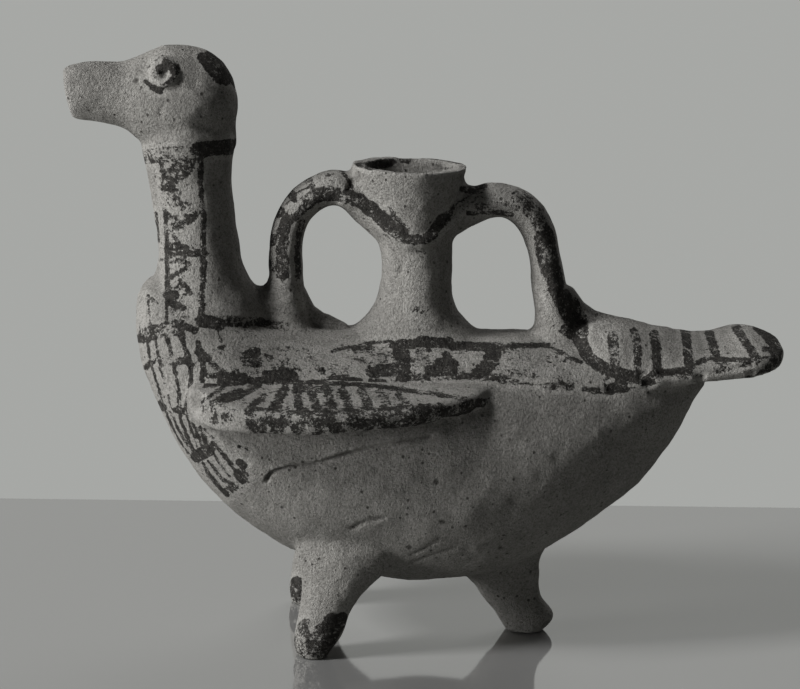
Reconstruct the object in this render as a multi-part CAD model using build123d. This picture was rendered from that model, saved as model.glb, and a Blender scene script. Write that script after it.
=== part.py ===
from build123d import *
import os

# Askos: a hollow pouring vessel of painted clay in the form of a bird. The potter
# forms each piece by hand and lutes it to the body before firing, so each piece
# here ends in the surface of the one that carries it.
# Millimetres, +Z up. The bird faces -X and its left side is -Y. The feet stand on
# Z = 0 and the origin lies under the middle of the whole length.

# Driving dimensions

overall_length = 270.0
overall_height = 222.2
cut_overrun = 2.0
half_turn = 180

# Body: an egg-shaped hollow with a raised breast under the neck
body_front_x = -108.0
body_length = 214.0
body_width = 94.0
body_height = 95.5
belly_height = 22.4
body_wall = 5.5

# Neck: a tube that leans forward as it rises, its foot sunk into the breast
neck_setback = 10.6
neck_foot_share = 1.0765
neck_lean = 6.0
neck_radius = 14.4
neck_wall = 5.0
neck_passage_radius = 8.5
joint_above_jaw = 2.0

# Head: an egg drawn out into a blunt tubular beak with a fine bore
head_depth = 40.0
head_width = 34.5
nape_overhang = 17.7
head_hollow_length = 25.0
head_wall = 5.5
beak_bore_radius = 3.2
beak_bore_drop = 19.0
beak_end_slant = 11.0

# Eyes: pellets pressed on, each pricked through in the middle
eye_advance = 9.0
eye_drop = 8.4
eye_radius = 5.4
eye_thickness = 2.2
eye_prick_radius = 1.4

# Filling spout: a flared cup on a stem that stands on the back
spout_place_share = 0.49
spout_foot_share = 0.93
spout_lean = 4.1
rim_rise = 62.3
rim_radius = 21.0
stem_radius = 13.3
rim_wall = 3.6
throat_radius = 7.4

# Handles: two flattened straps, breast side and tail side of the spout
strap_thickness = 12.6
strap_width = 17.5
front_handle_reach = 50.0
rear_handle_reach = 52.0
handle_rise = 60.0

# Wings: flat lobes that stand out from the shoulders
wing_place_share = 0.098
wing_top_share = 0.8775
wing_root_share = 0.51
wing_length = 113.0
wing_span = 125.0
wing_front_thickness = 11.0
wing_rear_thickness = 5.5
wing_droop = 9.0
wing_edge_radius = 2.8

# Tail: an arched slab that runs out flat behind
tail_root_share = 0.748
tail_top_share = 1.0745
tail_width = 54.0
tail_roll = 4.0
tail_thickness = 8.4

# Feet: two under the breast and one under the tail
front_foot_share = 0.3155
rear_foot_share = 0.708
front_foot_spread = 31.0
foot_length = 16.0
foot_width = 14.5
leg_rise = 32.6

# Places along the body, as shares of its length behind the breast
beak_tip_x = -overall_length / 2
tail_tip_x = overall_length / 2
neck_foot_x = body_front_x + neck_radius + neck_setback
spout_foot_x = body_front_x + spout_place_share * body_length
wing_front_x = body_front_x + wing_place_share * body_length
tail_root_x = body_front_x + tail_root_share * body_length
front_foot_x = body_front_x + front_foot_share * body_length
rear_foot_x = body_front_x + rear_foot_share * body_length
neck_top_x = neck_foot_x - neck_lean
nape_x = neck_top_x + nape_overhang
eye_x = neck_top_x - eye_advance

# Heights, as shares of the body's height over the belly or down from the crown
back_height = belly_height + body_height
leg_height = belly_height + leg_rise
neck_foot_height = belly_height + neck_foot_share * body_height
spout_foot_height = belly_height + spout_foot_share * body_height
wing_top_height = belly_height + wing_top_share * body_height
tail_height = belly_height + tail_top_share * body_height
rim_height = back_height + rim_rise
head_joint_height = overall_height - head_depth + joint_above_jaw
head_hollow_height = overall_height - head_depth / 2
beak_bore_height = overall_height - beak_bore_drop
eye_height = overall_height - eye_drop

# Half width from the middle plane at which the wings begin, inside the body
wing_root_half_width = wing_root_share * body_width / 2

# Shape tables

# Share of the length, then low, widest and high level as shares of the body
# height, then half width as a share of half the body width
body_shares = [
    (0.000, 0.985, 1.035, 1.085, 0.080),
    (0.007, 0.905, 1.003, 1.140, 0.285),
    (0.021, 0.808, 0.956, 1.178, 0.450),
    (0.044, 0.684, 0.888, 1.196, 0.600),
    (0.079, 0.538, 0.815, 1.190, 0.725),
    (0.131, 0.375, 0.720, 1.152, 0.828),
    (0.201, 0.226, 0.621, 1.080, 0.905),
    (0.294, 0.108, 0.537, 1.020, 0.966),
    (0.411, 0.026, 0.506, 1.000, 1.000),
    (0.528, 0.000, 0.506, 1.000, 0.996),
    (0.636, 0.035, 0.532, 1.001, 0.953),
    (0.738, 0.139, 0.590, 0.998, 0.851),
    (0.832, 0.286, 0.668, 0.977, 0.702),
    (0.907, 0.443, 0.741, 0.946, 0.543),
    (0.963, 0.640, 0.804, 0.914, 0.383),
    (1.000, 0.790, 0.841, 0.890, 0.213),
]

# Share of the height from foot to head joint, share of the lean, share of the radius
neck_shares = [
    (0.000, -0.10, 1.66),
    (0.110, 0.00, 1.42),
    (0.250, 0.12, 1.14),
    (0.430, 0.32, 1.03),
    (0.640, 0.56, 1.00),
    (0.830, 0.78, 1.02),
    (1.000, 0.95, 1.14),
    (1.160, 1.00, 1.10),
]

# Share of the length from nape to beak tip, low and high level as shares of the head
# depth down from the crown, half width as a share of half the width, share of slant
head_shares = [
    (0.000, 0.610, 0.460, 0.160, 0.0),
    (0.020, 0.740, 0.330, 0.460, 0.0),
    (0.075, 0.870, 0.165, 0.765, 0.0),
    (0.170, 0.960, 0.045, 0.940, 0.0),
    (0.295, 1.000, 0.000, 1.000, 0.0),
    (0.420, 0.965, 0.010, 0.955, 0.0),
    (0.525, 0.888, 0.072, 0.830, 0.0),
    (0.610, 0.795, 0.128, 0.700, 0.2),
    (0.730, 0.735, 0.165, 0.615, 0.5),
    (0.870, 0.718, 0.205, 0.570, 0.9),
    (0.935, 0.710, 0.232, 0.545, 1.0),
    (0.966, 0.694, 0.252, 0.505, 1.0),
    (0.977, 0.665, 0.282, 0.440, 1.0),
]

# Share of the height from foot to rim, share of the lean, share of the way from stem
# radius to rim radius along the body, and the same across it
spout_shares = [
    (0.000, 0.00, 2.10, 1.18),
    (0.060, 0.00, 1.80, 0.80),
    (0.115, 0.00, 1.20, 0.45),
    (0.180, 0.03, 0.56, 0.20),
    (0.260, 0.05, 0.15, 0.06),
    (0.390, 0.08, 0.00, 0.00),
    (0.540, 0.25, 0.05, 0.05),
    (0.655, 0.45, 0.22, 0.22),
    (0.800, 0.75, 0.53, 0.53),
    (0.915, 0.93, 0.80, 0.80),
    (1.000, 1.00, 1.00, 1.00),
]

# Share of the height from foot to rim, share of the way from throat to rim bore
spout_bore_shares = [
    (0.000, 0.00),
    (0.300, 0.00),
    (0.580, 0.03),
    (0.680, 0.26),
    (0.800, 0.58),
    (0.915, 0.83),
    (1.030, 1.05),
]

# Handle centre lines from foot to spout: share of the reach out from the spout
# foot, share of the rise over the back
front_handle_path_shares = [
    (0.930, -0.160),
    (0.965, 0.160),
    (0.985, 0.450),
    (0.955, 0.665),
    (0.830, 0.820),
    (0.655, 0.885),
    (0.480, 0.840),
    (0.330, 0.715),
    (0.210, 0.550),
    (0.110, 0.400),
]
rear_handle_path_shares = [
    (1.075, -0.160),
    (1.000, 0.120),
    (0.935, 0.390),
    (0.885, 0.580),
    (0.780, 0.745),
    (0.620, 0.830),
    (0.450, 0.815),
    (0.300, 0.745),
    (0.170, 0.640),
    (0.050, 0.520),
]

# Share of the way from foot to spout, share of the strap width, share of its thickness
strap_shares = [
    (0.00, 1.34, 1.80),
    (0.10, 1.24, 1.45),
    (0.20, 1.06, 1.12),
    (0.32, 0.98, 0.99),
    (0.45, 0.98, 0.97),
    (0.58, 1.00, 1.00),
    (0.70, 1.00, 1.02),
    (0.82, 1.02, 1.06),
    (1.00, 1.08, 1.12),
]

# Plan outline: share of the wing length from the front, share of the way from the
# root line to the wing's outer edge
wing_shares = [
    (0.06, 0.00),
    (0.00, 0.34),
    (0.03, 0.66),
    (0.14, 0.90),
    (0.34, 1.00),
    (0.58, 0.96),
    (0.79, 0.73),
    (0.93, 0.44),
    (1.00, 0.00),
]

# Share of the length from root to tip, share of the half width, then ridge, edge,
# and base level as shares of the thickness below the tail height, and edge thickness
# and turn as shares of the thickness and of the roll
tail_shares = [
    (0.00, 0.74, 1.30, 2.60, 3.60, 0.80, 0.0),
    (0.06, 0.84, 0.62, 2.30, 3.40, 0.86, 0.0),
    (0.15, 0.95, 0.10, 2.08, 3.20, 0.92, 0.1),
    (0.30, 1.00, 0.18, 2.05, 2.80, 0.92, 0.3),
    (0.45, 0.96, 0.42, 1.75, 2.10, 0.90, 0.5),
    (0.60, 0.92, 0.66, 1.45, 1.62, 0.86, 0.8),
    (0.75, 0.89, 0.78, 1.30, 1.62, 0.80, 1.0),
    (0.87, 0.84, 0.82, 1.26, 1.60, 0.72, 1.0),
    (0.94, 0.72, 0.90, 1.22, 1.56, 0.62, 1.0),
    (0.98, 0.54, 1.00, 1.20, 1.50, 0.48, 1.0),
    (1.00, 0.32, 1.12, 1.22, 1.42, 0.26, 1.0),
]

# Share of the leg height, shift to the rear as a share of half the foot length and
# inward as a share of half the foot width, then length and width as shares of the foot's
front_leg_shares = [
    (0.000, 0.00, 0.00, 0.75, 0.83),
    (0.055, 0.06, 0.00, 0.88, 0.99),
    (0.180, 0.30, 0.00, 1.11, 1.03),
    (0.330, 0.54, 0.01, 1.19, 1.09),
    (0.470, 0.94, 0.11, 1.44, 1.21),
    (0.600, 1.41, 0.28, 1.96, 1.45),
    (0.745, 1.81, 0.55, 2.60, 1.79),
    (1.000, 2.12, 0.97, 2.80, 1.93),
]
rear_leg_shares = [
    (0.000, 0.00, 0.00, 0.88, 0.86),
    (0.050, -0.01, 0.00, 1.22, 1.02),
    (0.145, -0.18, 0.00, 1.46, 1.06),
    (0.236, -0.70, 0.00, 1.46, 1.10),
    (0.327, -1.04, 0.00, 1.56, 1.25),
    (0.436, -1.50, 0.00, 2.02, 1.60),
    (0.545, -1.90, 0.00, 2.46, 2.00),
    (0.727, -2.10, 0.00, 3.00, 2.50),
]


# Sections

def egg_section(x, low, widest, high, half_width):
    """Upper and lower half ellipse that meet at the widest level, across X."""
    upper = EllipticalCenterArc((0, 0), half_width, high - widest, 0, arc_size=half_turn)
    lower = EllipticalCenterArc((0, 0), half_width, widest - low, half_turn, arc_size=half_turn)
    across = Plane(origin=(x, 0, widest), x_dir=(0, 1, 0), z_dir=(1, 0, 0))
    return across * make_face([upper, lower])


def level_section(x, y, height, half_length, half_width):
    """Flat ellipse at one height."""
    return Pos(x, y, height) * Ellipse(half_length, half_width)


# Outer forms, which also cut the pieces that seat on them

def body_form(inset):
    """The body's egg shape, drawn in by the inset on every side."""
    middle_x = body_front_x + body_length / 2
    middle_height = belly_height + body_height / 2
    length_scale = 1 - inset / (body_length / 2)
    height_scale = 1 - inset / (body_height / 2)
    width_scale = 1 - inset / (body_width / 2)
    sections = []
    for along, low, widest, high, half in body_shares:
        x = middle_x + (along - 0.5) * body_length * length_scale
        levels = [middle_height + (share - 0.5) * body_height * height_scale for share in (low, widest, high)]
        half_width = half * body_width / 2 * width_scale
        sections.append(egg_section(x, *levels, half_width))
    return loft(sections)


def neck_form(inset):
    rise = head_joint_height - neck_foot_height
    sections = []
    for up, lean, radius in neck_shares:
        x = neck_foot_x - lean * neck_lean
        outer = radius * neck_radius - inset
        sections.append(level_section(x, 0, neck_foot_height + up * rise, outer, outer))
    return loft(sections)


def head_form(swell):
    """Head and beak as one loft along X, its skin moved outward by the swell."""
    reach = beak_tip_x - nape_x
    sections = []
    for along, low, high, half, slant in head_shares:
        x = nape_x + along * reach
        low_level = overall_height - low * head_depth - swell
        high_level = overall_height - high * head_depth + swell
        middle = (low_level + high_level) / 2
        half_width = half * head_width / 2 + swell
        section = egg_section(0, low_level - middle, 0, high_level - middle, half_width)
        sections.append(Pos(x, 0, middle) * Rot(0, -slant * beak_end_slant, 0) * section)
    return loft(sections)


def spout_form():
    """Stem that spreads along the back at its foot and flares into a cup."""
    rise = rim_height - spout_foot_height
    flare = rim_radius - stem_radius
    sections = []
    for up, lean, along, across in spout_shares:
        x = spout_foot_x - lean * spout_lean
        half_length = stem_radius + along * flare
        half_width = stem_radius + across * flare
        sections.append(level_section(x, 0, spout_foot_height + up * rise, half_length, half_width))
    return loft(sections)


def leg_form(foot_x, foot_y, shares):
    """Leg lofted up from its sole, leaning in under the belly."""
    inward = 0 if foot_y == 0 else -foot_y / abs(foot_y)
    sections = []
    for up, rear_shift, inward_shift, length, width in shares:
        x = foot_x + rear_shift * foot_length / 2
        y = foot_y + inward * inward_shift * foot_width / 2
        sections.append(level_section(x, y, up * leg_height, length * foot_length / 2, width * foot_width / 2))
    return loft(sections)


# Hollows

def spout_bore():
    """Cup hollow and throat, down into the body's hollow."""
    rise = rim_height - spout_foot_height
    rim_bore_radius = rim_radius - rim_wall
    lean_at_rim = spout_foot_x - spout_lean
    sections = []
    for up, open_share in spout_bore_shares:
        radius = throat_radius + open_share * (rim_bore_radius - throat_radius)
        x = spout_foot_x + open_share * (lean_at_rim - spout_foot_x)
        sections.append(level_section(x, 0, spout_foot_height + up * rise, radius, radius))
    throat_foot = back_height - 2 * body_wall - cut_overrun
    throat = Pos(spout_foot_x, 0, throat_foot) * Cylinder(
        throat_radius, spout_foot_height - throat_foot + cut_overrun, align=(Align.CENTER, Align.CENTER, Align.MIN)
    )
    return loft(sections) + throat


def neck_passage():
    """Way through the body wall into the neck."""
    foot = neck_foot_height - 2 * body_wall
    top = neck_foot_height + (head_joint_height - neck_foot_height) / 2
    tube = Cylinder(neck_passage_radius, top - foot, align=(Align.CENTER, Align.CENTER, Align.MIN))
    return Pos(neck_foot_x, 0, foot) * tube


def neck_bore():
    return neck_form(neck_wall) + neck_passage()


def head_hollow():
    half_height = head_depth / 2 - head_wall
    half_width = head_width / 2 - head_wall
    hollow = scale(Sphere(1), by=(head_hollow_length / 2, half_width, half_height))
    return Pos(neck_top_x, 0, head_hollow_height) * hollow


def beak_bore():
    start = beak_tip_x - cut_overrun
    tube = Cylinder(beak_bore_radius, neck_top_x - start, align=(Align.CENTER, Align.CENTER, Align.MIN))
    return Pos(start, 0, beak_bore_height) * Rot(0, 90, 0) * tube


# Pieces

def body_shell(body):
    return body - body_form(body_wall) - spout_bore() - neck_passage()


def neck_and_head(body):
    """One hand-drawn form, parted at the painted joint under the jaw."""
    form = neck_form(0) + head_form(0) - body
    hollow = form - neck_bore() - head_hollow() - beak_bore()
    joint = Plane(origin=(neck_foot_x, 0, head_joint_height))
    neck = split(hollow, bisect_by=joint, keep=Keep.BOTTOM)
    head = split(hollow, bisect_by=joint, keep=Keep.TOP)
    return neck, head


def eye_pellet(side):
    """Button as thick as the pellet all over, bent to the side of the head."""
    button = Cylinder(eye_radius, head_width) - Cylinder(eye_prick_radius, head_width)
    place = Pos(eye_x, side * head_width / 2, eye_height) * Rot(90, 0, 0)
    return (place * button & head_form(eye_thickness)) - head_form(0)


def filling_spout(body, spout):
    return spout - body - spout_bore()


def strap_handle(path_shares, reach, toward):
    """Flattened strap lofted along its centre line, in the middle plane."""
    points = []
    for out, up in path_shares:
        points.append((spout_foot_x + toward * out * reach, 0, back_height + up * handle_rise))
    path = Spline(points)
    sections = []
    for along, width, thickness in strap_shares:
        across = Plane(origin=path @ along, x_dir=(0, 1, 0), z_dir=path % along)
        sections.append(across * Ellipse(width * strap_width / 2, thickness * strap_thickness / 2))
    return loft(sections)


def wing(side, body):
    """Flat lobe: plan outline, thinned to the rear, drooped, seated on the body."""
    root = wing_root_half_width
    outer = wing_span / 2
    points = []
    for along, out in wing_shares:
        points.append((wing_front_x + along * wing_length, root + out * (outer - root)))
    edge = Spline(points)
    outline = make_face([edge, Line(points[-1], points[0])])
    thick = wing_front_thickness
    slab = extrude(outline, thick)
    rear_x = wing_front_x + wing_length
    wedge_points = [
        (wing_front_x - cut_overrun, -cut_overrun),
        (rear_x + cut_overrun, -cut_overrun),
        (rear_x + cut_overrun, thick - wing_rear_thickness),
        (wing_front_x - cut_overrun, 0),
    ]
    wedge = extrude(Plane.XZ * make_face(Polyline(*wedge_points, close=True)), -wing_span)
    slab = slab - wedge
    rim = [e for e in slab.edges() if e.length > wing_length / 2 and e.center().Y > root + wing_edge_radius]
    slab = fillet(rim, wing_edge_radius)
    placed = Pos(0, root, wing_top_height) * Rot(-wing_droop, 0, 0) * Pos(0, -root, -thick) * slab
    lobe = placed if side > 0 else mirror(placed, Plane.XZ)
    return lobe - body


def tail_section(x, half_width, ridge_level, edge_level, base_level, edge_depth, turn):
    """Arched top and flatter base that meet in rounded edges."""
    shoulder = half_width - edge_depth / 4
    low_level = edge_level - edge_depth
    top = ThreePointArc((-shoulder, edge_level), (0, ridge_level), (shoulder, edge_level))
    right = ThreePointArc((shoulder, edge_level), (half_width, edge_level - edge_depth / 2), (shoulder, low_level))
    base = ThreePointArc((shoulder, low_level), (0, base_level), (-shoulder, low_level))
    left = ThreePointArc((-shoulder, low_level), (-half_width, edge_level - edge_depth / 2), (-shoulder, edge_level))
    across = Plane(origin=(x, 0, ridge_level), x_dir=(0, 1, 0), z_dir=(1, 0, 0))
    return across * Rot(0, 0, turn) * Pos(0, -ridge_level, 0) * make_face([top, right, base, left])


def tail(body):
    """Arched slab lofted along X, with a rounded paddle end."""
    reach = tail_tip_x - tail_root_x
    sections = []
    for along, half, ridge, edge, base, edge_depth, turn in tail_shares:
        levels = [tail_height - share * tail_thickness for share in (ridge, edge, base)]
        x = tail_root_x + along * reach
        depth = edge_depth * tail_thickness
        sections.append(tail_section(x, half * tail_width / 2, *levels, depth, turn * tail_roll))
    return loft(sections) - body


def build():
    body = body_form(0)
    spout = spout_form()
    neck, head = neck_and_head(body)
    tail_piece = tail(body)
    front_handle = strap_handle(front_handle_path_shares, front_handle_reach, -1)
    rear_handle = strap_handle(rear_handle_path_shares, rear_handle_reach, 1)
    pieces = {
        "body_shell": body_shell(body),
        "neck": neck,
        "head": head,
        "left_eye_pellet": eye_pellet(-1),
        "right_eye_pellet": eye_pellet(1),
        "filling_spout": filling_spout(body, spout),
        "front_handle": front_handle - body - spout - neck_form(0),
        "rear_handle": rear_handle - body - spout - tail_piece,
        "left_wing": wing(-1, body),
        "right_wing": wing(1, body),
        "tail": tail_piece,
        "front_left_leg": leg_form(front_foot_x, -front_foot_spread, front_leg_shares) - body,
        "front_right_leg": leg_form(front_foot_x, front_foot_spread, front_leg_shares) - body,
        "rear_leg": leg_form(rear_foot_x, 0, rear_leg_shares) - body,
    }
    return pieces


def write(pieces):
    os.makedirs("parts", exist_ok=True)
    for name, piece in pieces.items():
        export_step(piece, "parts/" + name + ".step")


write(build())
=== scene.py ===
import math

import bpy
import numpy as np
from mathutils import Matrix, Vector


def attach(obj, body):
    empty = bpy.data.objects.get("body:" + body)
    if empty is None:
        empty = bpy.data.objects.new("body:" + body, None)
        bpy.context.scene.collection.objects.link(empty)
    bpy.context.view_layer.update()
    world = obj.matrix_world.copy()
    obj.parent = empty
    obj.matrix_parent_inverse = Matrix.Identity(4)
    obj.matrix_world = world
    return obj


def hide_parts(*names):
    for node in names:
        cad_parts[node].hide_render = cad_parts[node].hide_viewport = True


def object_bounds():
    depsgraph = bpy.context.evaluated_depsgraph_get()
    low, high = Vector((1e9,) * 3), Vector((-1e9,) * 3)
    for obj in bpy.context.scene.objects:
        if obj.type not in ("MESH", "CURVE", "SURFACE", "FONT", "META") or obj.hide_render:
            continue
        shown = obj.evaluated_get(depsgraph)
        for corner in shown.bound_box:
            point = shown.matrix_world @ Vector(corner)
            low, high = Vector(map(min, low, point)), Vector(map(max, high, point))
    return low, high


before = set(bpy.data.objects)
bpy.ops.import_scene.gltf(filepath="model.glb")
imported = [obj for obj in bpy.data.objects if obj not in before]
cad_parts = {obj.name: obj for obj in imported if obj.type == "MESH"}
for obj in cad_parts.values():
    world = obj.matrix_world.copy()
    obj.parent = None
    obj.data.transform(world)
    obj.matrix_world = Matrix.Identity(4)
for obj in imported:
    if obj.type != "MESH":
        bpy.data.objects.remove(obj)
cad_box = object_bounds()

import openvdb as vdb
from mathutils import Matrix, Vector

# Bird askos of painted clay. Lengths are in millimetres of the shared frame, and MM
# turns them into Blender's metres. Only the stage at the end is written in metres.
MM = 0.001

# Photograph's camera, with angles in degrees
FRAME_WIDTH, FRAME_HEIGHT = 800, 689
CAMERA_TARGET = np.array((-8.9, 0.0, 112.1))
CAMERA_ELEVATION, CAMERA_AZIMUTH, CAMERA_ROLL = 12.5, -4.0, 1.8
CAMERA_DISTANCE = 920.0
FOCAL_PIXELS = 2447.0
SENSOR_WIDTH = 36.0

# Modelling volume
VOXEL = 0.75
BAND_VOXELS = 8
BAND = VOXEL * BAND_VOXELS
MARGIN_VOXELS = 10

# Luted joints: closing fills each inner corner with a fillet of this radius, which
# above the head's lower edge is the eye's small one
FILLET = 3.2
EYE_FILLET = 0.5
HEAD_EDGE_HEIGHT = 186.0
HEAD_EDGE_SOFTNESS = 6.0

# How far a piece runs on below its neighbour, and how steeply it dives there
LAP = 3.0
DIVE = 0.12

# Hand-made unevenness: lattice spacing and height of each size of bump
UNEVEN = ((17.0, 0.34), (7.5, 0.16), (3.1, 0.09), (1.6, 0.035))
UNEVEN_SEED = 11
LATTICE_SPARE = 4

# Inset of the clay from the CAD model's box
BOX_INSET = 0.02

# A line of sight is searched for clay from here to here, in steps
SIGHT_START, SIGHT_END = 0.8 * CAMERA_DISTANCE, 1.2 * CAMERA_DISTANCE
SIGHT_STEP = VOXEL / 2

# Chips and dents: pixel of the photograph, radius and depth
CHIPS = (
    ((198, 80), 9.0, 0.35),
    ((212, 431), 3.5, 0.4),
    ((190, 396), 6.0, 1.2),
    ((612, 388), 3.5, 0.25),
    ((650, 383), 4.0, 0.6),
    ((700, 381), 3.0, 0.5),
    ((752, 377), 3.0, 0.6),
    ((310, 628), 3.0, 0.5),
    ((548, 626), 3.0, 0.5),
    ((437, 168), 2.4, 0.9),
    ((356, 178), 2.0, 0.8),
)
# Clay smeared up in rolls and ridges: radius, height, then pixels
RIDGES = (
    (1.7, 0.8, (268, 478), (270, 472), (276, 467), (285, 465), (300, 463), (320, 460),
     (335, 454)),
    (2.4, 0.9, (335, 454), (350, 450), (370, 445), (395, 441), (420, 437), (440, 433)),
    (2.0, 0.6, (478, 404), (488, 402), (498, 404)),
    (3.9, 1.3, (345, 196), (358, 200), (370, 208), (380, 216), (390, 226), (400, 234),
     (410, 240)),
    (3.6, 1.0, (474, 204), (462, 209), (452, 216), (442, 225), (432, 234), (420, 240),
     (410, 240)),
)
RIDGE_BLEND = 1.2
# Cracks and scratches: radius, depth, then pixels
GROOVES = (
    (0.9, 0.8, (266, 484), (267, 478), (273, 472), (285, 468), (300, 466), (318, 463)),
    (0.9, 0.4, (318, 463), (350, 453), (390, 444), (430, 437)),
    (1.0, 0.9, (348, 188), (352, 181), (357, 174)),
    (1.0, 0.5, (388, 236), (394, 252), (400, 266)),
    (1.0, 0.5, (404, 262), (399, 272)),
    (0.9, 0.5, (161, 107), (160, 115)),
    (1.0, 0.4, (196, 252), (203, 259)),
    (1.0, 0.5, (641, 377), (648, 371)),
    (1.2, 0.5, (660, 372), (690, 375), (720, 371), (750, 365)),
    (0.9, 0.26, (407, 565), (430, 557), (454, 549)),
    (0.9, 0.20, (411, 556), (426, 549), (440, 540)),
    (0.9, 0.20, (352, 528), (366, 522), (384, 518)),
)
# Clay added in the middle plane: radius, then pixels
FILLS = (
    (3.7, (297, 296), (306, 313), (324, 326)),
    (3.4, (326, 324), (340, 331)),
    (3.8, (566, 296), (576, 310), (590, 320), (612, 327)),
    (9.0, (167, 140), (168, 150), (172, 167), (176, 190), (180, 215)),
    (3.0, (226, 118), (227, 130), (227, 142)),
    (3.0, (250, 294), (260, 297), (272, 298)),
)
# Swellings and hollows right across the form: pixel, radius, how far the clay moves up
SWELLS = (
    ((750, 324), 11.0, 2.0),
    ((708, 330), 10.0, -2.4),
    ((668, 327), 10.0, -1.2),
    ((338, 173), 8.0, 1.1),
    ((354, 165), 5.0, -1.5),
    ((73, 67), 7.0, 1.6),
)
# How far a swelling reaches to each side, and its window in radii
SWELL_REACH = 30.0
SWELL_WINDOW = 2.5

# Painting: a pixel at the object's distance, and the pixels that a stroke's distances
# and its strength reach past its edge
PIXEL_MM = CAMERA_DISTANCE / FOCAL_PIXELS
PAINT_REACH = 6.0
INK_MARGIN = 1.5

# Paint is laid where the surface turns at least this much towards the camera, and a
# dot is a line with at least this squared length
FACING_LEAST = -0.05
LEAST_SQUARE = 1e-6

# Rounds of smoothing that relief is measured against
RELIEF_STEPS = 20

# A piece with more triangles than this gets fewer of them on bare clay, which lies
# this far outside every stroke
MOST_TRIANGLES = 180000
BARE_MM = -0.9 * PAINT_REACH * PIXEL_MM

# Painted decoration, with a few strokes of painted shade in the eye, front handle and
# foot groups. A stroke is its width, how much of its paint is left, then its points.
# Widths and points are pixels of the photograph. A stroke with no paint left is a gap
# in the earlier ones.

HEAD_STROKES = (
    (15, 0.60, (143, 157), (160, 155), (180, 153), (200, 151)),
    (16, 0.97, (198, 150), (218, 148), (238, 146)),
    (11, 0.97, (203, 57), (210, 67), (217, 77), (226, 80)),
    (13, 0.97, (210, 56), (220, 66), (229, 76)),
    (15, 0.97, (218, 56), (230, 67), (238, 81)),
    (5, 0.30, (74, 92), (76, 104), (77, 112)),
)
EYE_STROKES_AND_SHADE = (
    (1.6, 0.60, (149, 67), (155, 60), (163, 56), (170, 57)),
    # These two lie on the pellet's right side, away from the light: paint with painted
    # shade
    (7.5, 1.15, (166, 62), (172, 66), (173, 71)),
    (5.0, 1.00, (178, 66), (176, 73), (171, 80), (166, 87)),
    (5.0, 0.95, (145, 81), (151, 86)),
    (7.5, 1.05, (153, 88), (160, 91)),
    (6.0, 1.00, (162, 88), (167, 84)),
    (9.5, 1.20, (160, 69), (164, 69)),
    (4.0, 0.60, (153, 74), (158, 79)),
)
NECK_STROKES = (
    # Remains of paint between the figures
    (18, 0.44, (173, 158), (174, 186)),
    (12, 0.38, (190, 158), (186, 170)),
    (15, 0.41, (173, 192), (178, 206)),
    (13, 0.38, (172, 216), (174, 246)),
    (14, 0.40, (175, 262), (176, 300), (180, 316)),
    (18, 0.24, (193, 176), (192, 240), (192, 312)),
    # Borders of the side panel
    (4.0, 0.80, (161, 160), (163, 175), (164, 187)),
    (3.0, 0.35, (164, 187), (165, 209)),
    (4.0, 0.85, (165, 209), (166, 230), (167, 260), (167, 300), (166, 322)),
    (5.0, 0.88, (201, 158), (201, 175), (202, 200), (204, 215), (204, 240), (204, 270)),
    (5.0, 0.85, (204, 270), (202, 300), (201, 320)),
    # Upper figure
    (6.0, 0.85, (168, 154), (183, 158), (198, 160)),
    (3.0, 0.88, (167, 152), (178, 165)),
    (3.0, 0.85, (174, 165), (192, 166)),
    (5.0, 0.90, (193, 163), (190, 169), (184, 176), (176, 181), (165, 188)),
    (3.0, 0.85, (160, 171), (190, 171)),
    (3.0, 0.85, (161, 178), (184, 177)),
    (7.0, 0.88, (164, 187), (171, 188)),
    (4.0, 0.45, (167, 190), (176, 194), (180, 200)),
    (3.0, 0.55, (163, 204), (200, 204)),
    (2.5, 0.60, (180, 210), (200, 210)),
    (2.5, 0.60, (163, 209), (168, 213)),
    # Middle figure
    (5.0, 0.90, (198, 212), (190, 220), (182, 226), (175, 228)),
    (2.5, 0.85, (174, 217), (188, 216)),
    (2.5, 0.85, (176, 221), (186, 222)),
    (2.5, 0.80, (172, 225), (184, 226)),
    (3.0, 0.85, (166, 211), (166, 226)),
    (3.0, 0.80, (171, 232), (176, 240), (184, 247)),
    (5.0, 0.88, (168, 246), (186, 248)),
    (6.0, 0.88, (168, 254), (206, 253)),
    # Lower figure
    (4.0, 0.85, (171, 261), (182, 261), (189, 264), (187, 268), (178, 273), (170, 277)),
    (3.0, 0.80, (180, 281), (186, 287), (190, 293)),
    (7.0, 0.45, (186, 292), (200, 298)),
    (8.0, 0.90, (167, 295), (174, 295)),
    (6.0, 0.88, (168, 302), (183, 308)),
    # Narrow panel at the front
    (3.0, 0.80, (156, 213), (157, 228), (158, 242)),
    (4.0, 0.80, (161, 260)),
)
COLLAR_STROKES = (
    (20, 0.30, (205, 305), (240, 335), (262, 340)),
    (7.0, 0.93, (137, 338), (143, 340)),
    (15, 0.66, (146, 335), (160, 331), (178, 327)),
    (8.0, 0.80, (184, 326), (194, 330)),
    (12, 0.95, (202, 321), (219, 324)),
    (10, 0.66, (222, 321), (240, 321), (262, 322)),
    (9.0, 0.50, (262, 323), (286, 327)),
    (3.0, 0.85, (218, 330), (221, 342)),
    (4.5, 0.90, (220, 347), (223, 347)),
    (3.0, 0.80, (183, 330), (185, 338)),
    (10, 0.35, (141, 300), (143, 326)),
    (2.5, 0.80, (148, 296), (149, 310), (150, 322), (151, 330)),
    (3.0, 0.80, (152, 298), (157, 303)),
)
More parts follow.
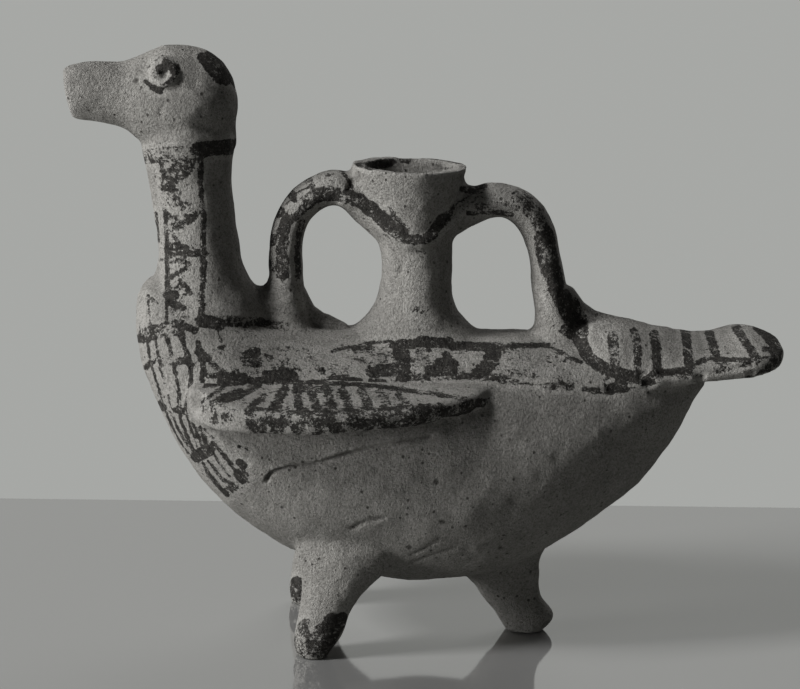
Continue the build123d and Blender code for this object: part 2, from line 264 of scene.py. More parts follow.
BREAST_STROKES = (
    # First row of posts, and the band below it
    (2.5, 0.85, (147, 341), (149, 353), (151, 363)),
    (3.0, 0.85, (155, 338), (158, 355)),
    (4.5, 0.82, (167, 337), (169, 346), (172, 355)),
    (5.5, 0.88, (180, 332), (184, 345), (188, 356), (190, 363)),
    (6.0, 0.92, (198, 342), (199, 350)),
    (9.0, 1.00, (200, 353), (203, 359)),
    (6.0, 0.90, (146, 367), (151, 363)),
    (4.0, 0.75, (152, 362), (160, 359)),
    (8.0, 0.62, (162, 362), (184, 361)),
    (7.0, 0.90, (188, 361), (191, 364)),
    # Second row
    (2.2, 0.85, (152, 366), (157, 384), (163, 404)),
    (3.0, 0.78, (160, 367), (162, 375), (165, 383)),
    (2.2, 0.85, (168, 395), (170, 404), (173, 412)),
    (4.0, 0.85, (174, 365), (177, 380), (179, 395), (179, 408)),
    (4.5, 0.85, (190, 363), (191, 377), (190, 390), (186, 405)),
    (5.0, 0.88, (204, 363), (202, 380), (198, 394), (193, 403)),
    (8.0, 0.85, (193, 402), (198, 400)),
    (7.0, 0.95, (160, 404), (163, 408)),
    (6.0, 0.90, (174, 410), (184, 411)),
    # Third row
    (1.8, 0.85, (166, 412), (171, 424), (179, 439), (188, 453)),
    (2.0, 0.85, (170, 411), (176, 424), (183, 438), (189, 449)),
    (3.8, 0.88, (180, 416), (183, 427), (189, 441), (193, 451)),
    (2.4, 0.85, (186, 412), (189, 423), (194, 436), (197, 446)),
    (3.0, 0.88, (193, 423), (198, 436), (202, 447)),
    (3.8, 0.90, (200, 427), (204, 437), (207, 446)),
    (2.4, 0.80, (204, 429), (213, 438)),
    (13, 0.95, (197, 456), (203, 453)),
    (12, 0.95, (205, 451), (209, 450)),
    (4.0, 0.92, (213, 443), (222, 453), (230, 463), (236, 472)),
    # Fourth row, down to the corner of the panel
    (3.2, 0.88, (203, 463), (210, 475), (218, 485), (227, 495)),
    (3.2, 0.86, (209, 461), (216, 471), (224, 480), (231, 484)),
    (2.2, 0.66, (215, 456), (222, 467), (230, 477)),
    (1.5, 0.50, (199, 464), (212, 482), (228, 498)),
    (10, 0.55, (227, 492), (234, 486)),
    (9.5, 0.97, (238, 474), (243, 480)),
    (2.0, 0.85, (239, 465), (248, 476)),
    (6.5, 0.97, (239, 462), (245, 466)),
    (3.4, 0.72, (238, 446), (247, 449)),
)
BACK_STROKES = (
    # Remains of paint over the whole band
    (30, 0.44, (212, 364), (235, 366)),
    (26, 0.36, (250, 362), (300, 364), (340, 366)),
    (28, 0.36, (370, 360), (450, 360), (540, 364), (575, 372)),
    # Left end, with its half disc
    (3.5, 0.90, (219, 347), (224, 346)),
    (6.0, 0.55, (222, 354), (240, 355)),
    (5.0, 0.70, (207, 356), (214, 366)),
    (3.0, 0.75, (216, 366), (222, 371), (230, 374), (238, 371)),
    (9.0, 0.90, (248, 354), (256, 352)),
    (9.0, 0.72, (245, 361), (258, 362)),
    (13, 0.97, (222, 379), (243, 380)),
    (8.0, 0.95, (240, 381), (264, 381)),
    (12, 0.95, (268, 377), (280, 377), (292, 378)),
    (6.0, 0.80, (282, 371), (290, 372)),
    (5.0, 0.95, (290, 382), (300, 383)),
    (3.0, 0.50, (257, 350), (272, 349), (290, 348), (308, 351)),
    (5.0, 0.66, (256, 356), (270, 358)),
    (6.0, 0.75, (318, 368), (322, 371)),
    (2.5, 0.85, (298, 382), (326, 381)),
    (7.0, 0.95, (330, 381), (345, 379), (360, 381)),
    (5.0, 0.88, (370, 381), (384, 382)),
    (9.0, 0.00, (224, 364), (236, 364)),
    # Middle
    (3.5, 0.80, (333, 351), (350, 347), (360, 345), (380, 342), (400, 341)),
    (8.0, 0.70, (355, 349), (370, 348)),
    (4.0, 0.62, (352, 357), (368, 362), (394, 364)),
    (12, 0.78, (372, 372), (396, 370)),
    (8.0, 0.90, (393, 344), (422, 343)),
    (10, 0.90, (420, 341), (450, 342)),
    (8.0, 0.88, (450, 345), (475, 346), (500, 346)),
    (5.5, 0.86, (500, 346), (548, 345)),
    (3.5, 0.80, (548, 346), (560, 352), (570, 357), (582, 362)),
    # Posts and triangle of the right half
    (13, 0.90, (401, 350), (403, 376)),
    (6.5, 0.70, (421, 377), (460, 377)),
    (10, 0.92, (430, 371), (452, 371)),
    (11, 0.90, (440, 364), (452, 364)),
    (8.0, 0.88, (446, 356), (448, 360)),
    (15, 0.92, (493, 350), (491, 362)),
    (12, 0.92, (487, 366), (478, 373)),
    (7.0, 0.66, (460, 377), (482, 376)),
    (6.0, 0.55, (393, 378), (421, 378)),
    (7.0, 0.66, (482, 378), (502, 378)),
    (7.0, 0.62, (500, 380), (516, 382)),
    (3.0, 0.70, (515, 383), (546, 385)),
    (7.0, 0.66, (546, 386), (571, 387)),
    (6.0, 0.66, (585, 389), (608, 390)),
    # From the rear handle's foot down to the tail
    (9.0, 0.88, (565, 328), (575, 338), (580, 345), (585, 355), (595, 365), (610, 372)),
    (2.5, 0.80, (560, 331), (572, 340), (579, 346)),
    (5.0, 0.00, (584, 366), (590, 368)),
)
WING_STROKES = (
    # Remains of paint over the top and the edge
    (20, 0.36, (225, 398), (300, 399), (400, 401)),
    (20, 0.50, (248, 422), (340, 422), (440, 413)),
    (4.5, 0.88, (206, 386), (224, 384), (262, 382), (300, 382), (340, 384), (380, 386)),
    (4.5, 0.75, (380, 386), (420, 392), (460, 398), (492, 402)),
    (4.0, 0.85, (224, 386), (214, 393), (203, 402)),
    (4.0, 0.85, (240, 391), (222, 397), (203, 407)),
    (4.0, 0.85, (262, 384), (240, 396), (220, 403), (212, 409)),
    (4.0, 0.85, (265, 396), (255, 403), (247, 411)),
    (8.5, 0.85, (285, 388), (279, 399), (273, 411)),
    (7.5, 0.85, (296, 387), (298, 400), (300, 412)),
    (7.5, 0.82, (310, 387), (314, 400), (318, 412)),
    (7.0, 0.80, (326, 388), (330, 400), (334, 412)),
    (7.5, 0.75, (342, 389), (347, 401), (351, 412)),
    (8.0, 0.70, (361, 390), (366, 400), (370, 411)),
    (7.0, 0.62, (380, 391), (385, 400), (389, 410)),
    (5.0, 0.60, (398, 394), (405, 401), (412, 408)),
    (3.0, 0.85, (203, 410), (212, 407), (222, 406), (230, 411), (245, 410), (258, 409)),
    (4.5, 0.88, (256, 410), (300, 412), (340, 412), (380, 411), (430, 406)),
    (3.0, 0.75, (250, 434), (290, 434), (330, 432), (370, 429), (410, 425), (445, 419)),
    (14, 0.40, (206, 415), (242, 421)),
    (5.0, 0.80, (212, 420), (213, 422)),
    (2.4, 0.80, (217, 410), (215, 416), (218, 424)),
    (9.0, 0.80, (226, 417), (228, 417)),
    (3.4, 0.00, (226, 417)),
    (14, 0.80, (252, 420), (256, 424)),
    (13, 0.85, (438, 414), (466, 408)),
    (9.0, 0.92, (466, 406), (493, 402)),
    (9.0, 0.88, (322, 415), (360, 414), (400, 412), (436, 409)),
    (7.0, 0.82, (335, 429), (395, 426), (440, 418)),
    (6.0, 0.75, (296, 388), (330, 390)),
)
# Zigzag along the wing's edge: start, end, turns, width and how much is left
WING_ZIGZAG = (249, 440, 10, 8.5, 0.85)
WING_EDGE_TOP = ((249, 412), (340, 413), (440, 406))
WING_EDGE_FOOT = ((249, 433), (340, 431), (440, 420))
FRONT_HANDLE_STROKES_AND_SHADE = (
    # Band along the side
    (13, 0.90, (283, 274), (282, 250), (283, 232), (286, 222), (294, 214), (303, 206)),
    (15, 0.90, (306, 203), (314, 196), (324, 194), (335, 194), (348, 197)),
    (15, 0.93, (348, 197), (360, 201), (370, 208), (380, 216), (390, 226), (402, 235)),
    # Painted shade: a dark strip along the handle's inner face, which lies in shadow
    (6.0, 0.80, (298, 276), (297, 250), (298, 236), (302, 222)),
    (2.0, 0.85, (286, 204), (293, 197), (302, 190), (312, 187)),
    (7.0, 0.00, (299, 202), (295, 207), (291, 212)),
    (1.6, 0.00, (291, 232), (290, 250), (290, 268)),
    # Rungs over the outer face
    (6.0, 0.60, (270, 262), (274, 270)),
    (13, 0.90, (266, 240), (272, 240)),
    (12, 0.90, (274, 212), (279, 212)),
    (9.0, 0.88, (287, 191), (295, 198)),
    (8.0, 0.62, (307, 175), (311, 186)),
    (8.5, 0.62, (330, 169), (331, 184)),
    (3.5, 0.88, (341, 169), (347, 178), (352, 187)),
    (9.0, 0.28, (275, 278), (286, 292), (296, 304)),
)
REAR_HANDLE_STROKES = (
    (12, 0.46, (444, 220), (452, 213), (462, 205), (474, 199), (490, 196), (506, 199)),
    (6.0, 0.72, (478, 207), (492, 205), (505, 204), (517, 208)),
    (5.0, 0.72, (468, 214), (485, 212), (500, 212), (512, 215)),
    (8.0, 0.85, (463, 190), (475, 189), (484, 187)),
    (13, 0.58, (518, 196), (528, 201), (538, 211)),
    (15, 0.70, (530, 210), (539, 222), (545, 236)),
    (18, 0.90, (545, 236), (548, 252), (551, 268), (555, 284)),
    (15, 0.93, (555, 284), (560, 298), (566, 311), (574, 324)),
    (5.0, 0.85, (536, 238), (539, 256), (543, 272)),
    (4.0, 0.40, (545, 290), (550, 304), (558, 318)),
    (11, 0.80, (566, 294), (575, 306), (582, 318), (583, 332)),
)
SPOUT_STROKES = (
    (3.5, 0.92, (357, 165), (367, 164), (380, 161), (395, 159), (405, 158), (420, 157)),
    (3.0, 0.85, (420, 157), (435, 158), (450, 161), (462, 163)),
    (7.5, 0.95, (369, 167), (378, 165), (390, 163)),
    (5.0, 0.60, (388, 163), (398, 162), (411, 160)),
    (5.0, 0.85, (404, 161), (408, 161)),
    (2.5, 0.70, (440, 169), (455, 167), (466, 166)),
    (10, 0.88, (398, 234), (407, 239), (416, 240), (425, 239), (433, 234)),
    (11, 0.95, (431, 234), (437, 226), (444, 218)),
    (5.0, 0.60, (392, 214), (400, 222), (408, 230)),
    (26, 0.32, (421, 262), (421, 312)),
    (3.0, 0.80, (388, 207), (395, 213)),
)
TAIL_STROKES = (
    (10, 0.74, (612, 336), (614, 350), (615, 364)),
    (8.5, 0.76, (634, 332), (637, 341), (638, 352), (638, 370)),
    (9.5, 0.84, (654, 335), (656, 346), (657, 369)),
    (10, 0.82, (685, 328), (687, 345), (689, 368)),
    (9.0, 0.74, (709, 332), (713, 345), (717, 359)),
    (9.0, 0.80, (736, 327), (741, 335), (746, 343), (752, 351), (756, 360)),
    (11, 0.93, (758, 326), (766, 333), (773, 342), (777, 352), (775, 362), (770, 369)),
    (6.0, 0.85, (764, 349), (775, 350)),
    (12, 0.90, (583, 344), (588, 357), (600, 366), (615, 373), (630, 376), (646, 377)),
    (14, 0.92, (610, 383), (624, 383), (640, 380), (655, 377)),
    (6.0, 0.85, (592, 391), (610, 392), (626, 389)),
    (6.0, 0.85, (655, 373), (672, 371), (690, 368)),
    (5.0, 0.70, (690, 366), (701, 361), (712, 358)),
    (4.5, 0.88, (712, 358), (730, 359), (745, 360), (757, 360), (769, 357)),
    (12, 0.55, (660, 377), (685, 375), (710, 369), (735, 366), (760, 364)),
    (4.0, 0.85, (742, 378), (755, 377), (761, 373), (766, 369)),
    (2.5, 0.00, (640, 377), (644, 374), (649, 371)),
    (4.0, 0.00, (628, 385), (637, 386)),
    (3.5, 0.00, (607, 382), (613, 380)),
)
FOOT_STROKES_AND_SHADE = (
    # Dark paint round the foot; its right side, laid at full strength, is painted shade as
    # well
    (16, 0.76, (306, 627), (302, 642), (301, 656)),
    (22, 0.92, (333, 624), (326, 640), (318, 654)),
    (14, 0.80, (305, 652), (325, 651)),
    (12, 0.92, (342, 618), (334, 632)),
    (10, 0.72, (312, 642), (320, 628)),
    (5.0, 0.00, (311, 625), (312, 630)),
)
FAR_FOOT_STROKES = (
    (14, 0.92, (297, 583), (297, 594), (296, 606)),
)
# Pieces that each group of strokes is laid on, and whether the far side mirrors it
DECORATION = (
    (("head", "neck"), True, HEAD_STROKES),
    (("head", "left_eye_pellet", "right_eye_pellet"), True, EYE_STROKES_AND_SHADE),
    (("neck", "body_shell"), True, NECK_STROKES),
    (("neck", "body_shell", "front_handle"), True, COLLAR_STROKES),
    (("neck", "body_shell"), True, BREAST_STROKES),
    (("body_shell", "filling_spout", "rear_handle", "tail"), True, BACK_STROKES),
    (("left_wing", "right_wing"), True, WING_STROKES),
    (("front_handle", "filling_spout"), True, FRONT_HANDLE_STROKES_AND_SHADE),
    (("rear_handle", "body_shell", "filling_spout", "tail"), True, REAR_HANDLE_STROKES),
    (("filling_spout",), False, SPOUT_STROKES),
    (("tail", "body_shell"), False, TAIL_STROKES),
    (("front_left_leg", "front_right_leg"), True, FOOT_STROKES_AND_SHADE),
    (("front_right_leg",), False, FAR_FOOT_STROKES),
)


# Camera

def camera_axes():
    """Right, up and back directions of the photograph's camera."""
    e, a, r = (math.radians(v) for v in (CAMERA_ELEVATION, CAMERA_AZIMUTH, CAMERA_ROLL))
    back = np.array((math.sin(a) * math.cos(e), -math.cos(a) * math.cos(e), math.sin(e)))
    level = np.array((math.cos(a), math.sin(a), 0.0))
    upright = np.cross(back, level)
    right = level * math.cos(r) + upright * math.sin(r)
    up = upright * math.cos(r) - level * math.sin(r)
    return right, up, back


RIGHT, UP, BACK = camera_axes()
EYE = CAMERA_TARGET + BACK * CAMERA_DISTANCE


def pixel_direction(u, v):
    """Direction from the eye through a pixel of the photograph."""
    across, down = u - FRAME_WIDTH / 2, v - FRAME_HEIGHT / 2
    ray = RIGHT * across - UP * down - BACK * FOCAL_PIXELS
    return ray / np.linalg.norm(ray)


def add_camera():
    data = bpy.data.cameras.new("camera")
    data.sensor_fit = "HORIZONTAL"
    data.sensor_width = SENSOR_WIDTH
    data.lens = FOCAL_PIXELS / FRAME_WIDTH * SENSOR_WIDTH
    data.dof.use_dof = False
    camera = bpy.data.objects.new("camera", data)
    turn = Matrix((RIGHT, UP, BACK)).transposed().to_4x4()
    camera.matrix_world = Matrix.Translation(Vector(EYE * MM)) @ turn
    bpy.context.scene.collection.objects.link(camera)
    bpy.context.scene.camera = camera


# Volume

def node_distance(node):
    """Signed distance to one CAD node, as an array and its low corner in voxels."""
    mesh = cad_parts[node].data
    mesh.calc_loop_triangles()
    points = np.empty(len(mesh.vertices) * 3, np.float32)
    mesh.vertices.foreach_get("co", points)
    points = points.reshape(-1, 3) / MM
    corners = np.empty(len(mesh.loop_triangles) * 3, np.int32)
    mesh.loop_triangles.foreach_get("vertices", corners)
    return distance_to(points, triangles=corners.reshape(-1, 3).astype(np.uint32))


def distance_to(points, **faces):
    """Signed distance to a mesh, as an array and its low corner in voxels."""
    placed = vdb.createLinearTransform(voxelSize=VOXEL)
    grid = vdb.FloatGrid.createLevelSetFromPolygons(
        points.astype(np.float64), transform=placed, halfWidth=float(BAND_VOXELS), **faces
    )
    low = np.floor(points.min(0) / VOXEL).astype(int) - MARGIN_VOXELS
    high = np.ceil(points.max(0) / VOXEL).astype(int) + MARGIN_VOXELS
    values = np.empty(high - low, np.float32)
    grid.copyToArray(values, ijk=tuple(int(v) for v in low))
    return values, low


def quads_of(values, low, level=0.0):
    """Quad mesh of the surface where the values equal the level."""
    grid = vdb.FloatGrid(float(BAND))
    grid.copyFromArray(values, ijk=tuple(int(v) for v in low))
    grid.transform = vdb.createLinearTransform(voxelSize=VOXEL)
    return grid.convertToQuads(isovalue=level)


def window(low, shape, whole_low):
    """Slices of the whole volume that a smaller one fills."""
    start = low - whole_low
    return tuple(slice(int(a), int(a + n)) for a, n in zip(start, shape))


def gather(distances):
    """Least and second least distance to any node, over the whole object."""
    low = np.min([part_low for _, part_low in distances.values()], 0)
    high = np.max([part_low + values.shape for values, part_low in distances.values()], 0)
    nearest = np.full(high - low, BAND, np.float32)
    second = np.full(high - low, BAND, np.float32)
    for values, part_low in distances.values():
        here = window(part_low, values.shape, low)
        second[here] = np.minimum(second[here], np.maximum(nearest[here], values))
        nearest[here] = np.minimum(nearest[here], values)
    return nearest, second, low


def closed(values, low, radius):
    """The form after clay of this radius fills its inner corners."""
    points, quads = quads_of(values, low, radius)
    grown, grown_low = distance_to(points, quads=quads.astype(np.uint32))
    result = np.full(values.shape, BAND, np.float32)
    a = np.maximum(grown_low, low)
    b = np.minimum(grown_low + grown.shape, low + values.shape)
    result[window(a, b - a, low)] = grown[window(a, b - a, grown_low)]
    return result + radius


def axis_mm(low, count, axis):
    """Coordinates along one axis, shaped to spread over a volume."""
    shape = [1, 1, 1]
    shape[axis] = count
    return ((low[axis] + np.arange(count)) * VOXEL).astype(np.float32).reshape(shape)


def smooth(t):
    """Smooth step from 0 to 1."""
    t = np.clip(t, 0, 1)
    return t * t * (3 - 2 * t)


def spread(lattice, places, axis):
    """Cubic interpolation of a lattice along one axis."""
    cell = np.floor(places).astype(int)
    t = (places - cell).astype(np.float32)
    weights = (
        ((2 - t) * t - 1) * t / 2,
        ((3 * t - 5) * t * t + 2) / 2,
        ((4 - 3 * t) * t + 1) * t / 2,
        (t - 1) * t * t / 2,
    )
    shape = [1, 1, 1]
    shape[axis] = len(places)
    total = 0
    for step, weight in enumerate(weights):
        total = total + np.take(lattice, cell + step, axis) * weight.reshape(shape)
    return total


def uneven(shape, low, spacing, random):
    """Smooth random bumps of one size over the volume."""
    cells = [int(math.ceil(n * VOXEL / spacing)) + LATTICE_SPARE for n in shape]
    bumps = random.standard_normal(cells).astype(np.float32)
    for axis, count in enumerate(shape):
        bumps = spread(bumps, np.arange(count) * VOXEL / spacing, axis)
    return bumps


def on_clay(pixel, form, low):
    """Where the line of sight through a pixel meets the clay, or passes it nearest."""
    steps = np.arange(SIGHT_START, SIGHT_END, SIGHT_STEP)
    places = EYE + pixel_direction(*pixel) * steps[:, None]
    cells = np.round(places / VOXEL).astype(int) - low
    within = np.all((cells >= 0) & (cells < form.shape), axis=1)
    values = np.full(len(steps), BAND)
    values[within] = form[tuple(cells[within].T)]
    return places[np.argmax(values <= max(values.min(), 0))]


def around(points, reach, form, low):
    """The window of the volume round some points, and its voxels' coordinates."""
    a = np.maximum(np.floor((points.min(0) - reach) / VOXEL).astype(int), low)
    b = np.minimum(np.ceil((points.max(0) + reach) / VOXEL).astype(int), low + form.shape)
    return window(a, b - a, low), [axis_mm(a, (b - a)[i], i) for i in range(3)]


def mirrored(points, side):
    """Points on this side of the middle plane, or on the other for a side of -1."""
    return points * (1, side, 1)


def chip(form, low, place, radius, depth):
    """Takes a shallow hollow out of the skin."""
    centre = place + BACK * (radius - depth)
    for side in (1, -1):
        spot = mirrored(centre, side)
        here, axes = around(spot[None], radius + BAND, form, low)
        distance = np.sqrt(sum((axis - c) ** 2 for axis, c in zip(axes, spot)))
        form[here] = np.maximum(form[here], radius - distance)


def ridge(form, low, places, radius, height):
    """Lays a thin roll of clay on the skin and smears it in."""
    for side in (1, -1):
        line = mirrored(places - BACK * (radius - height), side)
        here, axes = around(line, radius + BAND, form, low)
        distance = roll_distance(axes, line) - radius
        gap = np.abs(form[here] - distance)
        blend = np.maximum(RIDGE_BLEND - gap, 0) ** 2 / (4 * RIDGE_BLEND)
        form[here] = np.minimum(form[here], distance) - blend


def roll_distance(axes, line):
    """Distance from each voxel to a line of points."""
    nearest = np.inf
    for a, b in zip(line, line[1:]):
        along = b - a
        offset = [axis - c for axis, c in zip(axes, a)]
        t = np.clip(sum(o * s for o, s in zip(offset, along)) / (along @ along), 0, 1)
        square = sum((o - t * s) ** 2 for o, s in zip(offset, along))
        nearest = np.minimum(nearest, np.sqrt(square))
    return nearest


def in_middle(pixel):
    """Where the line of sight through a pixel crosses the middle plane."""
    sight = pixel_direction(*pixel)
    return EYE - sight * EYE[1] / sight[1]


def groove(form, low, places, radius, depth):
    """Scores a line into the skin."""
    for side in (1, -1):
        line = mirrored(places + BACK * (radius - depth), side)
        here, axes = around(line, radius + BAND, form, low)
        form[here] = np.maximum(form[here], radius - roll_distance(axes, line))


def swell(form, low, place, radius, rise):
    """Moves the clay up or down in a band from one side of the vessel to the other."""
    ends = np.array([place - (0, SWELL_REACH, 0), place + (0, SWELL_REACH, 0)])
    here, (x, _, z) = around(ends, SWELL_WINDOW * radius, form, low)
    square = ((x - place[0]) ** 2 + (z - place[2]) ** 2) / radius**2
    block = form[here]
    form[here] = block - rise * np.exp(-square) * np.gradient(block, VOXEL, axis=2)


def worked(form, low):
    """Adds the hand's marks and the wear, each found through its pixel."""
    marks = [(on_clay(pixel, form, low), radius, depth) for pixel, radius, depth in CHIPS]
    rolls, scores = (
        [(np.array([on_clay(p, form, low) for p in line]), radius, height)
         for radius, height, *line in lines]
        for lines in (RIDGES, GROOVES)
    )
    for radius, *line in FILLS:
        ridge(form, low, np.array([in_middle(p) for p in line]), radius, radius)
    for pixel, radius, rise in SWELLS:
        swell(form, low, in_middle(pixel), radius, rise)
    for places, radius, height in rolls:
        ridge(form, low, places, radius, height)
    for places, radius, depth in scores:
        groove(form, low, places, radius, depth)
    for place, radius, depth in marks:
        chip(form, low, place, radius, depth)


def trimmed(form, low):
    """Keeps the clay inside the CAD model's box, and so its soles flat."""
    for axis in range(3):
        along = axis_mm(low, form.shape[axis], axis)
        least, most = (corner[axis] / MM for corner in cad_box)
        outside = np.maximum(least + BOX_INSET - along, along - most + BOX_INSET)
        np.maximum(form, outside, out=form)


def outer_form(nearest, low):
    """All pieces as one body of clay: filleted joints and an uneven hand-made skin."""
    crisp = closed(nearest, low, EYE_FILLET)
    filled = closed(nearest, low, FILLET)
    height = axis_mm(low, nearest.shape[2], 2)
    share = 1 - smooth((height - HEAD_EDGE_HEIGHT) / HEAD_EDGE_SOFTNESS)
    form = crisp + (filled - crisp) * share
    random = np.random.default_rng(UNEVEN_SEED)
    for spacing, bump in UNEVEN:
        form += bump * uneven(form.shape, low, spacing, random)
    worked(form, low)
    trimmed(form, low)
    return form


def piece_field(node, distances, nearest, second, form, low):
    """The form where this node is the nearest one, running on under its neighbours."""
    own, own_low = distances[node]
    here = window(own_low, own.shape, low)
    others = np.where(own <= nearest[here], second[here], nearest[here])
    past = own - others
    sunk = form[here] + DIVE * np.maximum(past, 0) ** 2
    return np.maximum(sunk, past - LAP), own_low


# Meshes

def add_piece(name, points, quads):
    """Mesh object from points in millimetres and their quads."""
    corners = quads.shape[1]
    mesh = bpy.data.meshes.new(name)
    mesh.vertices.add(len(points))
    mesh.vertices.foreach_set("co", (np.asarray(points, np.float32) * MM).ravel())
    mesh.loops.add(quads.size)
    mesh.loops.foreach_set("vertex_index", quads.astype(np.int32).ravel())
    mesh.polygons.add(len(quads))
    starts = np.arange(0, quads.size, corners, dtype=np.int32)
    mesh.polygons.foreach_set("loop_start", starts)
    mesh.update(calc_edges=True)
    mesh.validate()
    mesh.shade_smooth()
    piece = bpy.data.objects.new(name, mesh)
    bpy.context.scene.collection.objects.link(piece)
    return piece


def build_pieces():
    """One visible piece of clay for each CAD node."""
    distances = {node: node_distance(node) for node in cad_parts}
    nearest, second, low = gather(distances)
    form = outer_form(nearest, low)
    pieces = {}
    for node in distances:
        field, field_low = piece_field(node, distances, nearest, second, form, low)
        points, quads = quads_of(field, field_low)
        pieces[node] = add_piece("clay_" + node, points, quads)
    return pieces


# Painting

def mesh_arrays(mesh):
    """Vertices in millimetres, and their normals."""
    points = np.empty(len(mesh.vertices) * 3, np.float32)
    mesh.vertices.foreach_get("co", points)
    normals = np.empty(len(mesh.vertices) * 3, np.float32)
    mesh.vertex_normals.foreach_get("vector", normals)
    return points.reshape(-1, 3) / MM, normals.reshape(-1, 3)


def camera_pixels(points):
    """Pixels of the photograph where points of the frame show."""
    offset = points - EYE
    scale = FOCAL_PIXELS / -(offset @ BACK)
    across = FRAME_WIDTH / 2 + offset @ RIGHT * scale
    down = FRAME_HEIGHT / 2 - offset @ UP * scale
    return np.stack((across, down), 1)


def line_distance(pixels, line):
    """Distance in pixels from each place to a stroke's centre line."""
    nearest = np.full(len(pixels), np.inf)
    for a, b in zip(line, line[1:] if len(line) > 1 else line):
        along = np.subtract(b, a, dtype=float)
        t = np.clip((pixels - a) @ along / max(along @ along, LEAST_SQUARE), 0, 1)
        away = np.linalg.norm(pixels - a - t[:, None] * along, axis=1)
        nearest = np.minimum(nearest, away)
    return nearest


def lay_strokes(pixels, facing, strokes, paint, ink):
    """Distance inside the nearest stroke's edge, and how much of its paint is left."""
    for width, left, *line in strokes:
        corners, reach = np.array(line), width / 2 + PAINT_REACH
        near = (pixels > corners.min(0) - reach) & (pixels < corners.max(0) + reach)
        here = np.nonzero(facing & near.all(axis=1))[0]
        edge = width / 2 - line_distance(pixels[here], line)
        if left:
            paint[here] = np.maximum(paint[here], edge)
            ink[here] = np.maximum(ink[here], left * smooth(edge + INK_MARGIN))
        else:
            paint[here] = np.minimum(paint[here], -edge)


def zigzag_strokes():
    """Thick zigzag along the wing's edge face."""
    start, end, turns, width, left = WING_ZIGZAG
    across = np.linspace(start, end, 2 * turns + 1)
    top = np.interp(across, *zip(*WING_EDGE_TOP))
    foot = np.interp(across, *zip(*WING_EDGE_FOOT))
    down = np.where(np.arange(len(across)) % 2, foot, top)
    return ((width, left, *zip(across, down)),)


def relief(mesh, points, normals):
    """How far each vertex stands above the surface round it: edges up, hollows down."""
    ends = np.empty(len(mesh.edges) * 2, np.int32)
    mesh.edges.foreach_get("vertices", ends)
    a, b = ends.reshape(-1, 2).T
    count = np.bincount(ends, minlength=len(points))
    level = points.astype(np.float64)
    for _ in range(RELIEF_STEPS):
        for axis in range(3):
            total = np.bincount(a, level[b, axis], len(points))
            total += np.bincount(b, level[a, axis], len(points))
            level[:, axis] = total / np.maximum(count, 1)
    return ((points - level) * normals).sum(1)


def store(mesh, name, values):
    """Keeps one value per vertex under a name that the material reads."""
    attribute = mesh.attributes.new(name, "FLOAT", "POINT")
    attribute.data.foreach_set("value", values.astype(np.float32))


def decorate(node, piece):
    """Writes paint, ink and relief onto the vertices of one piece."""
    points, normals = mesh_arrays(piece.data)
    paint = np.full(len(points), -PAINT_REACH)
    ink = np.zeros(len(points))
    for nodes, both_sides, strokes in DECORATION:
        if node not in nodes:
            continue
        side = np.where(both_sides & (points[:, 1] > 0), -1, 1)
        turned, turned_normals = points.copy(), normals.copy()
        turned[:, 1] *= side
        turned_normals[:, 1] *= side
        sight = EYE - turned
        sight /= np.linalg.norm(sight, axis=1)[:, None]
        facing = (turned_normals * sight).sum(1) > FACING_LEAST
        if "wing" in node:
            strokes = strokes + zigzag_strokes()
        lay_strokes(camera_pixels(turned), facing, strokes, paint, ink)
    # The paint distance also carries the strokes of painted shade on the eye, front handle
    # and foot
    store(piece.data, "paint", paint * PIXEL_MM)
    store(piece.data, "ink", ink)
    store(piece.data, "relief", relief(piece.data, points, normals))


def thin_plain(piece):
    """Takes triangles from the bare clay of a piece that has too many."""
    mesh = piece.data
    triangles = sum(len(face.vertices) - 2 for face in mesh.polygons)
    if triangles <= MOST_TRIANGLES:
        return
    paint = np.empty(len(mesh.vertices), np.float32)
    mesh.attributes["paint"].data.foreach_get("value", paint)
    bare = np.nonzero(paint < BARE_MM)[0]
    group = piece.vertex_groups.new(name="bare")
    group.add(bare.tolist(), 1.0, "REPLACE")
    thinner = piece.modifiers.new("thinner", "DECIMATE")
    thinner.ratio = MOST_TRIANGLES / triangles
    thinner.vertex_group = group.name
    graph = bpy.context.evaluated_depsgraph_get()
    reduced = bpy.data.meshes.new_from_object(piece.evaluated_get(graph))
    piece.modifiers.clear()
    piece.vertex_groups.clear()
    piece.data = reduced
    reduced.name = piece.name


# Material

